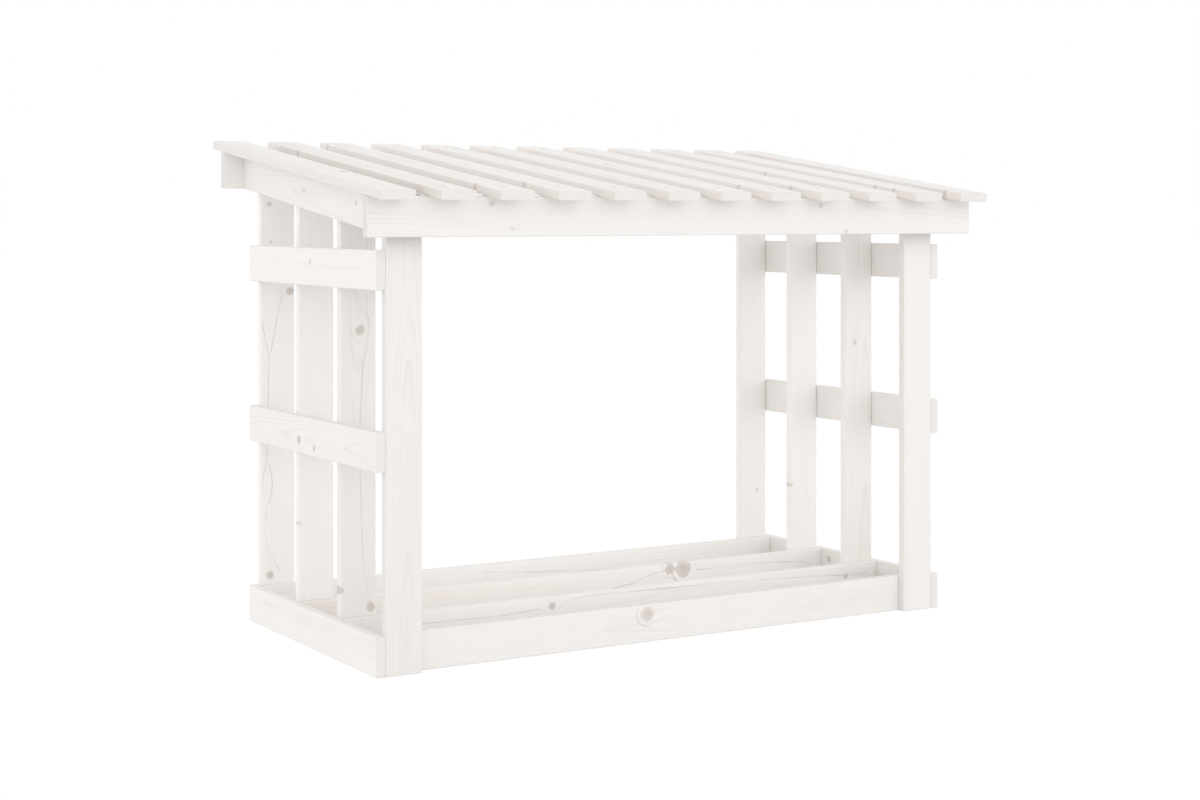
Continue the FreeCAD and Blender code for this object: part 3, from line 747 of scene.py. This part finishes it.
class Uprights(bpy.types.Operator):
    """Corner posts and middle side boards, their tops cut to the roof's slope"""

    bl_idname = "rack.uprights"
    bl_label = "Uprights"

    def execute(self, context):
        sizes = context.scene.rack_sizes
        slant = math.tan(sizes.pitch)
        for name, kinds in (("corner_posts", ("front_post", "back_post")),
                            ("side_boards", ("side_board_1", "side_board_2"))):
            nodes = [f"{side}_{kind}" for side in SIDES for kind in kinds]
            points = []
            for node in nodes:
                spot = board(node, (Z_AXIS, X_AXIS))
                drop = spot["half"].z * slant
                spot["half"].x -= drop / 2
                spot["middle"].z -= drop / 2
                points.append(point(node, spot, sizes, high_cut=(0, 0, slant)))
            lay(context, name, points, nodes)
        return {"FINISHED"}


class Rails(bpy.types.Operator):
    """Middle and upper rails on the outside of both sides"""

    bl_idname = "rack.rails"
    bl_label = "Side Rails"

    def execute(self, context):
        nodes = [f"{side}_{kind}_rail" for side in SIDES for kind in ("middle", "upper")]
        points = [point(node, board(node, (Y_AXIS, Z_AXIS)), context.scene.rack_sizes) for node in nodes]
        lay(context, "side_rails", points, nodes)
        return {"FINISHED"}


def sloping(node, across, sizes):
    """A board along the roof's slope: the middle and size of its upright box, and its own directions."""
    low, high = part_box(node)
    slope = Vector((0, math.cos(sizes.pitch), math.sin(sizes.pitch)))
    return (low + high) / 2, high - low, (slope, across, slope.cross(across))


class Rafters(bpy.types.Operator):
    """A sloping rafter on each side, with upright end cuts"""

    bl_idname = "rack.rafters"
    bl_label = "Rafters"

    def execute(self, context):
        sizes = context.scene.rack_sizes
        rise, run = math.sin(sizes.pitch), math.cos(sizes.pitch)
        nodes = ["left_rafter", "right_rafter"]
        points = []
        for node in nodes:
            middle, size, axes = sloping(node, Vector((0, -rise, run)), sizes)
            width = (size.z - size.y * rise / run) * run
            spot = {"middle": middle, "half": Vector((size.y / run, width, size.x)) / 2, "axes": axes}
            cut = (0, rise / run, 0)
            points.append(point(node, spot, sizes, low_cut=cut, high_cut=cut))
        lay(context, "rafters", points, nodes)
        return {"FINISHED"}


class EavesBoards(bpy.types.Operator):
    """The front fascia and the back header, bevelled to carry the slats"""

    bl_idname = "rack.eaves_boards"
    bl_label = "Eaves Boards"

    def execute(self, context):
        sizes = context.scene.rack_sizes
        slant = math.tan(sizes.pitch)
        nodes = ["front_fascia", "back_header"]
        points = []
        for node in nodes:
            spot = board(node, (X_AXIS, Z_AXIS))
            drop = spot["half"].z * slant
            spot["half"].y -= drop / 2
            spot["middle"].z -= drop / 2
            points.append(point(node, spot, sizes, bevel=-slant))
        lay(context, "eaves_boards", points, nodes)
        return {"FINISHED"}


class RoofSlats(bpy.types.Operator):
    """Roof slats from front to back, with open gaps"""

    bl_idname = "rack.roof_slats"
    bl_label = "Roof Slats"

    def execute(self, context):
        sizes = context.scene.rack_sizes
        rise, run = math.sin(sizes.pitch), math.cos(sizes.pitch)
        nodes = sorted(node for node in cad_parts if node.startswith("roof_slat"))
        points = []
        for node in nodes:
            middle, size, axes = sloping(node, X_AXIS, sizes)
            turned = run * run - rise * rise
            length = (size.y * run - size.z * rise) / turned
            thick = (size.z * run - size.y * rise) / turned
            spot = {"middle": middle, "half": Vector((length, size.x, thick)) / 2, "axes": axes}
            # The slats' narrow sides take painted shade.
            points.append(point(node, spot, sizes, thin=SLAT_SIDE_SHADE))
        lay(context, "roof_slats", points, nodes)
        return {"FINISHED"}


def islands(node):
    """The separate solids of a frame node, each as an array of corners."""
    corners = np.array([v.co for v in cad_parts[node].data.vertices])
    keys, where = np.unique(np.round(corners, 6), axis=0, return_inverse=True)
    where = where.ravel()
    parent = np.arange(len(keys))
    faces = np.array([[where[v] for v in p.vertices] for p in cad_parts[node].data.polygons])
    changed = True
    while changed:
        least = parent[faces].min(axis=1)
        fresh = parent.copy()
        for column in range(3):
            np.minimum.at(fresh, faces[:, column], least)
        fresh = fresh[fresh]
        changed = bool((fresh != parent).any())
        parent = fresh
    return [keys[parent == root] for root in np.unique(parent)]


def screw_form(context, sizes, length):
    """A countersunk wood screw with a cross recess, its head in the XY plane and its tip down."""
    head, shank = sizes.head_diameter / 2, sizes.head_diameter / 4
    edge, point_length, point_radius = 0.25 * MM, 4 * MM, 0.15 * shank
    profile = ((head, 0.0), (head, -edge), (shank, -edge - (head - shank)), (shank, point_length - length),
               (point_radius, -length))
    count, arm, width, deep, taper = 24, 0.6 * head, 0.13 * head, 1.2 * MM, 0.8
    work = bmesh.new()
    rings = []
    for radius, height in profile:
        rings.append([work.verts.new((radius * math.cos(2 * math.pi * k / count),
                                      radius * math.sin(2 * math.pi * k / count), height))
                      for k in range(count)])
    for upper, lower in zip(rings, rings[1:]):
        for k in range(count):
            work.faces.new((upper[k], lower[k], lower[(k + 1) % count], upper[(k + 1) % count]))
    work.faces.new(reversed(rings[-1]))
    cross = []
    for quarter in range(4):
        turn = Matrix.Rotation(quarter * math.pi / 2, 3, "Z")
        for x, y in ((arm, -width), (arm, width), (width, width)):
            cross.append(turn @ Vector((x, y, 0)))
    brim = [work.verts.new(c) for c in cross]
    sole = [work.verts.new(Vector((c.x * taper, c.y * taper, -deep))) for c in cross]
    for k in range(len(cross)):
        following = (k + 1) % len(cross)
        work.faces.new((brim[k], brim[following], sole[following], sole[k]))
    work.faces.new(sole)
    ring, step = rings[0], count // 4
    for quarter in range(4):
        tip, flank, notch, after = (brim[(3 * quarter + k) % len(cross)] for k in range(4))
        base = quarter * step
        work.faces.new([ring[base - 1], ring[base], ring[base + 1], flank, tip])
        arc = [ring[(base + k) % count] for k in range(1, step)]
        work.faces.new(arc + [after, notch, flank])
    bmesh.ops.recalc_face_normals(work, faces=work.faces)
    mesh = bpy.data.meshes.new("screw form")
    work.to_mesh(mesh)
    work.free()
    form = bpy.data.objects.new("screw form", mesh)
    context.scene.collection.objects.link(form)
    return form


class Screws(bpy.types.Operator):
    """Countersunk screws in the slats, the uprights' feet and the header"""

    bl_idname = "rack.screws"
    bl_label = "Screws"

    def execute(self, context):
        sizes = context.scene.rack_sizes
        end_zone, rim_zone, rim_inside = 1 * MM, 0.2 * MM, 2 * MM
        for name, node in (("slat_screws", "roof_screws"), ("frame_screws", "base_screws"),
                           ("header_fixings", "header_screws")):
            points, longest = [], 0.0
            for solid in islands(node):
                middle = solid.mean(axis=0)
                _, _, turns = np.linalg.svd(solid - middle)
                axis = turns[0]
                reach = (solid - middle) @ axis
                aside = np.linalg.norm(solid - middle - np.outer(reach, axis), axis=1)
                top_end, low_end = reach > reach.max() - end_zone, reach < reach.min() + end_zone
                if aside[top_end].max() < aside[low_end].max():
                    axis, reach = -axis, -reach
                head = reach > reach.max() - rim_zone
                rim = solid[head & (aside > rim_inside)]
                top = rim.mean(axis=0)
                longest = max(longest, float(reach.max() - reach.min()))
                turn = Vector(axis).to_track_quat("Z", "Y").to_euler()
                points.append({"place": Vector(top) + Vector(axis) * sizes.head_proud, "turn": turn})
            form = screw_form(context, sizes, longest)
            values = {"Screw": form, "Material": finish_named(context, "zinc plated steel")}
            piece = grown(context, name, points, screw_tree(), values, SCREW_FACES * len(points))
            bpy.data.objects.remove(form)
            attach(piece, "root")
            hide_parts(node)
        return {"FINISHED"}


class Dowels(bpy.types.Operator):
    """Beech finish for the frame's own dowels, which are hidden in the joints"""

    bl_idname = "rack.dowels"
    bl_label = "Dowels"

    def execute(self, context):
        beech = finish_named(context, "bare beech")
        for node in ("left_side_dowels", "right_side_dowels", "fascia_dowels"):
            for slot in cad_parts[node].material_slots:
                slot.material = beech
        return {"FINISHED"}


class Stage(bpy.types.Operator):
    """Pale floor, soft light and the camera"""

    bl_idname = "rack.stage"
    bl_label = "Stage"

    def execute(self, context):
        scene = context.scene
        scene.view_settings.view_transform = "Standard"
        self.floor(scene)
        self.light(scene)
        camera = bpy.data.cameras.new("camera")
        camera.sensor_width, camera.lens, camera.shift_y = SENSOR_WIDTH, CAMERA_LENS, CAMERA_SHIFT
        view = bpy.data.objects.new("camera", camera)
        view.location = CAMERA_PLACE
        view.rotation_euler = CAMERA_TURN
        scene.collection.objects.link(view)
        scene.camera = view
        return {"FINISHED"}

    def floor(self, scene):
        """A wide pale floor that looks white to the camera and still takes a faint shadow."""
        reach = scene.rack_sizes.floor_size / 2
        mesh = bpy.data.meshes.new("stage_floor")
        corners = [(x * reach, y * reach, -FLOOR_DROP) for x, y in ((-1, -1), (1, -1), (1, 1), (-1, 1))]
        mesh.from_pydata(corners, [], [(0, 1, 2, 3)])
        floor = bpy.data.objects.new("stage_floor", mesh)
        scene.collection.objects.link(floor)
        material, tree = blank_material("stage floor")
        seen = self.seen(tree)
        colour = (*scene.rack_colours.floor, 1)
        plain = add(tree, "ShaderNodeBsdfDiffuse", {"Color": (FLOOR_BOUNCE, FLOOR_BOUNCE, FLOOR_BOUNCE, 1)})
        matt = add(tree, "ShaderNodeBsdfDiffuse", {"Color": colour})
        glow = add(tree, "ShaderNodeEmission", {"Color": colour, "Strength": FLOOR_GLOW})
        white = add(tree, "ShaderNodeMixShader", {0: FLOOR_SHADOW, 1: glow, 2: matt})
        shader = add(tree, "ShaderNodeMixShader", {0: seen, 1: plain, 2: white})
        add(tree, "ShaderNodeOutputMaterial", {"Surface": shader})
        mesh.materials.append(material)

    def light(self, scene):
        """A white room that is brightest at eye level, and one large soft lamp in front."""
        world = bpy.data.worlds.new("studio")
        scene.world = world
        world.use_nodes = True
        tree = world.node_tree
        tree.nodes.clear()
        way = add(tree, SEPARATE, {0: add(tree, "ShaderNodeTexCoord").outputs["Generated"]})
        room = add(tree, MAP_RANGE, {0: way.outputs[2], 3: ROOM_LEVEL, 4: ROOM_OVERHEAD})
        level = add(tree, MIX, {"Factor": self.seen(tree), "A": room, "B": 1.0}, data_type="FLOAT")
        white = add(tree, "ShaderNodeBackground", {"Color": (1, 1, 1, 1), "Strength": level})
        add(tree, "ShaderNodeOutputWorld", {"Surface": white})
        lamp = bpy.data.lights.new("soft box", "AREA")
        lamp.shape, lamp.size, lamp.energy = "DISK", LAMP_SIZE, LAMP_POWER
        box = bpy.data.objects.new("soft box", lamp)
        box.location = LAMP_PLACE
        box.rotation_euler = (LAMP_AIM - LAMP_PLACE).to_track_quat("-Z", "Y").to_euler()
        scene.collection.objects.link(box)

    def seen(self, tree):
        """One where a ray comes straight, mirrored or refracted from the camera."""
        path = add(tree, "ShaderNodeLightPath").outputs
        straight = add(tree, MATH, {0: path["Is Camera Ray"], 1: path["Is Glossy Ray"]},
                       operation="MAXIMUM")
        return add(tree, MATH, {0: straight, 1: path["Is Transmission Ray"]}, operation="MAXIMUM")


class RackPanel(bpy.types.Panel):
    """Lists the rack's pieces, sizes and colours"""

    bl_idname = "VIEW3D_PT_rack"
    bl_label = "Firewood Rack"
    bl_space_type = "VIEW_3D"
    bl_region_type = "UI"
    bl_category = "Rack"

    def draw(self, context):
        for piece in PIECES:
            self.layout.operator(piece.bl_idname)
        for group in (context.scene.rack_sizes, context.scene.rack_colours):
            for key in group.__annotations__:
                self.layout.prop(group, key)


PIECES = (BaseBoards, LogBearers, Uprights, Rails, Rafters, EavesBoards, RoofSlats, Screws, Dowels, Stage)
CLASSES = (RackSizes, RackColours, *PIECES, RackPanel)


def register():
    for kind in CLASSES:
        bpy.utils.register_class(kind)
    bpy.types.Scene.rack_sizes = bpy.props.PointerProperty(type=RackSizes)
    bpy.types.Scene.rack_colours = bpy.props.PointerProperty(type=RackColours)


def unregister():
    del bpy.types.Scene.rack_colours
    del bpy.types.Scene.rack_sizes
    for kind in reversed(CLASSES):
        bpy.utils.unregister_class(kind)


def main():
    register()
    for piece in PIECES:
        group, call = piece.bl_idname.split(".")
        getattr(getattr(bpy.ops, group), call)()


if __name__ == "__main__":
    main()
